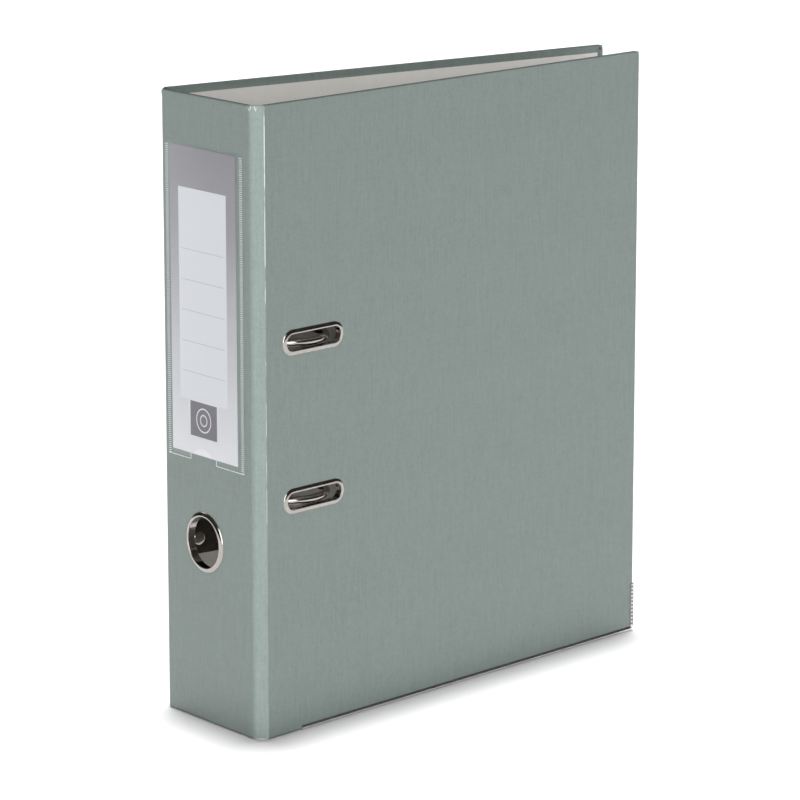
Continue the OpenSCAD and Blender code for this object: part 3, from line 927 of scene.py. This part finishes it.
bm = bmesh.new()
arc_steps = 14
arc_centre = (notch_rise ** 2 - notch_reach ** 2) / (2 * notch_rise)
arc_radius = notch_rise - arc_centre
notch = []
for k in range(arc_steps + 1):
    across = -notch_reach + 2 * notch_reach * k / arc_steps
    notch.append((ring_x + across, pocket_z[0] + arc_centre + (arc_radius ** 2 - across ** 2) ** 0.5))
outline = [(pocket_x[0], pocket_z[0]), *notch, (pocket_x[1], pocket_z[0])]
outline += [(pocket_x[1], pocket_z[1]), (pocket_x[0], pocket_z[1])]
bm.faces.new([bm.verts.new((x, weld_level, z)) for x, z in outline])
weld_edges = (pocket_x[0] + weld, pocket_x[1] - weld, pocket_z[0] + weld)
bulge_edges = (weld_edges[0] + bulge_run, weld_edges[1] - bulge_run, weld_edges[2] + foot_bulge_run)
cut_sheet(bm, weld_level, [
    ("X", weld_edges[0]), ("X", bulge_edges[0]), ("X", weld_edges[1]), ("X", bulge_edges[1]),
    ("Z", weld_edges[2]), ("Z", bulge_edges[2]),
])
for vert in bm.verts:
    inside = bulge_edges[0] - 0.1 < vert.co.x < bulge_edges[1] + 0.1
    if inside and vert.co.z > bulge_edges[2] - 0.1:
        vert.co.y = pocket_level
thicken(bm, (0, pocket_sheet, 0))
pocket = finished("label_pocket_film", bm, spine_place, clear)
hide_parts("label_pocket")
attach(pocket, "spine")

milky = new_look("welded_film", 0.22, Alpha=0.9)
bite = pattern(milky, 800, (1, 1, 1), 2.0)
link(milky, ramp(milky, bite, [(0.3, (0.56, 0.63, 0.61)), (0.7, (0.78, 0.84, 0.82))]), "Base Color")
ridge_pitch = 1.03
ridge_count = 153
ridge_rise = (pocket_z[0] + 0.61, pocket_z[0] + 0.99)
ridge_inset = 0.3
ridge_level = weld_level - 0.03
ridge_thickness = 0.3
ridge_bevel = 0.08
bm = bmesh.new()
for near, far in ((pocket_x[0], weld_edges[0]), (weld_edges[1], pocket_x[1])):
    thin_bar(bm, (near + ridge_inset, far - ridge_inset), ridge_rise, ridge_level, ridge_thickness)
bevel_edges(bm, bm.edges[:], ridge_bevel, 1)
ridges = finished("pocket_weld_ridges", bm, spine_place, milky)
row = ridges.modifiers.new("row", "ARRAY")
row.count = ridge_count
row.use_relative_offset = False
row.use_constant_offset = True
row.constant_offset_displace = (0, 0, ridge_pitch / 1000)
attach(ridges, "spine")

foot_z = pocket_z[0] + 0.5
foot_half_line = 0.2
foot_line_rise = 3.2
bm = bmesh.new()
for near, far, end in ((pocket_x[0] + 0.5, 28, 28), (49.5, pocket_x[1] - 0.5, 49.5)):
    line = (foot_z - foot_half_line, foot_z + foot_half_line)
    thin_bar(bm, (near, far), line, ridge_level, ridge_thickness)
    upright = (end - foot_half_line, end + foot_half_line)
    thin_bar(bm, upright, (foot_z, foot_z + foot_line_rise), ridge_level, ridge_thickness)
bevel_edges(bm, bm.edges[:], ridge_bevel, 1)
foot_welds = finished("pocket_foot_welds", bm, spine_place, milky)
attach(foot_welds, "spine")

# ---- Ring mechanism ----
# Nickel-plated steel parts on a base plate that is riveted through the back cover. The plate is
# painted dark as painted shade, for the dim inside of the file seen through the slots. A lever
# with a nylon roller works the bent-wire arches against a leaf spring, and a bar holds the sheets.

nylon = new_look("black_nylon", 0.42)
nylon_grain = pattern(nylon, 1200, (1, 1, 1), 3.0)
link(nylon, ramp(
    nylon, nylon_grain, [(0.3, (0.022, 0.022, 0.024)), (0.7, (0.04, 0.04, 0.043))],
), "Base Color")
roughen(nylon, nylon_grain, 0.00003)

spring_look = new_look("spring_steel", 0.24, 1.0)
spring_marks = pattern(spring_look, 1500, (0.1, 1, 1), 4.0)
link(spring_look, ramp(
    spring_look, spring_marks, [(0.3, (0.30, 0.32, 0.37)), (0.7, (0.44, 0.45, 0.49))],
), "Base Color")
link(spring_look, spread(spring_look, spring_marks, 0.16, 0.32), "Roughness")

# The base plate's dark colour is painted shade for the dim inside of the file.
plate_with_painted_shade = new_look("nickel_with_painted_shade", 0.3, 1.0)
plate_marks = pattern(plate_with_painted_shade, 500, (1, 1, 1), 5.0, 0.6)
link(plate_with_painted_shade, ramp(
    plate_with_painted_shade, plate_marks, [(0.3, (0.085, 0.076, 0.070)), (0.7, (0.125, 0.113, 0.104))],
), "Base Color")
link(plate_with_painted_shade, spread(plate_with_painted_shade, plate_marks, 0.18, 0.32), "Roughness")
roughen(plate_with_painted_shade, plate_marks, 0.00001)

own_looks = {
    "mechanism_base": plate_with_painted_shade, "leaf_spring": spring_look, "roller": nylon, "compressor_latch": nylon,
}
for name in (
    "mechanism_base", "mechanism_rivets", "upper_post", "lower_post", "lever_pivot_pin", "leaf_spring",
    "spring_rivet", "arches", "lever", "roller_pin", "roller", "compressor_bar", "compressor_latch",
):
    part = frame["nodes"][name]
    part.material_slots[0].material = own_looks.get(name, nickel)
    joined = part.modifiers.new("joined", "WELD")
    joined.merge_threshold = 0.00001
    merged = part.modifiers.new("flat_faces", "DECIMATE")
    merged.decimate_type = "DISSOLVE"
    merged.angle_limit = radians(1)
    eased = part.modifiers.new("eased_edges", "BEVEL")
    eased.width = 0.00022
    eased.segments = 2
    eased.limit_method = "ANGLE"
    eased.angle_limit = radians(40)
    even_shading(part)

# ---- Floor, light and camera ----
# A white floor with a wide even light beside the camera, a light overhead for the floor alone, which
# shades it round the file's foot, and two weak softboxes behind. The white backdrop lights the file
# only faintly, so that bright metal mirrors a dark room.

scene = bpy.context.scene
scene.view_settings.view_transform = "Standard"
scene.view_settings.look = "None"

bm = bmesh.new()
bmesh.ops.create_grid(bm, x_segments=8, y_segments=8, size=6)
floor_look = new_look("studio_floor", 0.9)
floor_marks = pattern(floor_look, 3, (1, 1, 1), 2.0)
link(floor_look, ramp(
    floor_look, floor_marks, [(0.3, (0.49, 0.49, 0.49)), (0.7, (0.51, 0.51, 0.51))],
), "Base Color")
floor = finished("studio_floor", bm, Matrix.Translation((0, 0, 0)), floor_look)

middle = (cad_low + cad_high) / 2


def orbit(azimuth, elevation, distance, target):
    """Place that looks at the target from an azimuth round from -Y and an elevation, in degrees."""
    a, e = radians(azimuth), radians(elevation)
    back = Vector((sin(a) * cos(e), -cos(a) * cos(e), sin(e)))
    place = (-back).to_track_quat("-Z", "Y").to_matrix().to_4x4()
    place.translation = Vector(target) + back * distance
    return place


def new_light(name, kind, azimuth, elevation, distance, energy):
    """A light of this kind, aimed at the file."""
    lamp = bpy.data.lights.new(name, kind)
    lamp.energy = energy
    light = bpy.data.objects.new(name, lamp)
    light.matrix_world = orbit(azimuth, elevation, distance, middle)
    scene.collection.objects.link(light)
    return light


front_light = new_light("front_light", "SUN", -33, 20, 3, 2.8)
front_light.data.angle = radians(60)
floor_light = new_light("floor_light", "SUN", 144, 86, 3, 6.8)
floor_light.data.angle = radians(8)
floor_only = bpy.data.collections.new("floor_only")
floor_only.objects.link(floor)
floor_light.light_linking.receiver_collection = floor_only
for name, azimuth, elevation in (("side_light", 100, 30), ("back_light", 200, 35)):
    softbox = new_light(name, "AREA", azimuth, elevation, 2.2, 3)
    softbox.data.shape = "RECTANGLE"
    softbox.data.size = 0.8
    softbox.data.size_y = 0.8

world = bpy.data.worlds.new("studio")
world.use_nodes = True
scene.world = world
backdrop = world.node_tree.nodes["Background"]
backdrop.inputs["Color"].default_value = (1, 1, 1, 1)
backdrop.inputs["Strength"].default_value = 1.02
fill = node(world, "Background", {"Color": (1, 1, 1, 1), "Strength": 0.14})
upwards = node(world, "TexCoord").outputs["Generated"]
height = node(world, "SeparateXYZ", {"Vector": upwards}).outputs["Z"]
mirrored = node(world, "Background", {
    "Color": ramp(world, height, [(0.0, (0.03, 0.03, 0.03)), (0.9, (0.09, 0.09, 0.09))]),
})
path = node(world, "LightPath").outputs
around = node(world, "MixShader", {
    0: path["Is Glossy Ray"], 1: fill.outputs["Background"], 2: mirrored.outputs["Background"],
})
choice = node(world, "MixShader", {
    0: path["Is Camera Ray"], 1: around.outputs["Shader"], 2: backdrop.outputs["Background"],
})
surface = world.node_tree.nodes["World Output"].inputs["Surface"]
world.node_tree.links.new(choice.outputs["Shader"], surface)

lens = bpy.data.cameras.new("view")
lens.sensor_width = 36
lens.lens = 178.0
lens.clip_start = 0.05
lens.clip_end = 50
camera = bpy.data.objects.new("view", lens)
aim = Vector((-0.0154, 0.0085, 0.1489))
camera.matrix_world = orbit(-36.027, 12.557, 2.041, aim)
scene.collection.objects.link(camera)
scene.camera = camera
